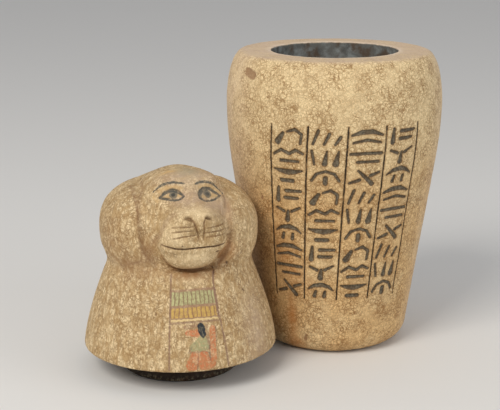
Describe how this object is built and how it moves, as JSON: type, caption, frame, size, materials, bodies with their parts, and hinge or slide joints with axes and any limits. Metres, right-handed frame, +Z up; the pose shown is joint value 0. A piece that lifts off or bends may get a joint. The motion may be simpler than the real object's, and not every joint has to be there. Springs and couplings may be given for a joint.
{
  "type": "canopic jar",
  "caption": "Thick-walled stone canopic jar with a carved front, and its loose lid in the form of a baboon's head standing beside it.",
  "frame": {"origin": "middle of the jar's foot, on the surface that it stands on", "axes": "+Z up along the jar's own axis, -Y out of the middle of the inscribed front, +X to the right of someone who reads it"},
  "size_m": [0.3006, 0.24, 0.25],
  "materials": {
    "jar_stone": "mottled tan limestone, dry and matt, with dark filled strokes",
    "lid_stone": "mottled tan limestone, dry and matt, with traces of paint"
  },
  "bodies": {
    "root": {"jar_body": "jar_stone", "baboon_lid": "lid_stone"}
  },
  "joints": []
}
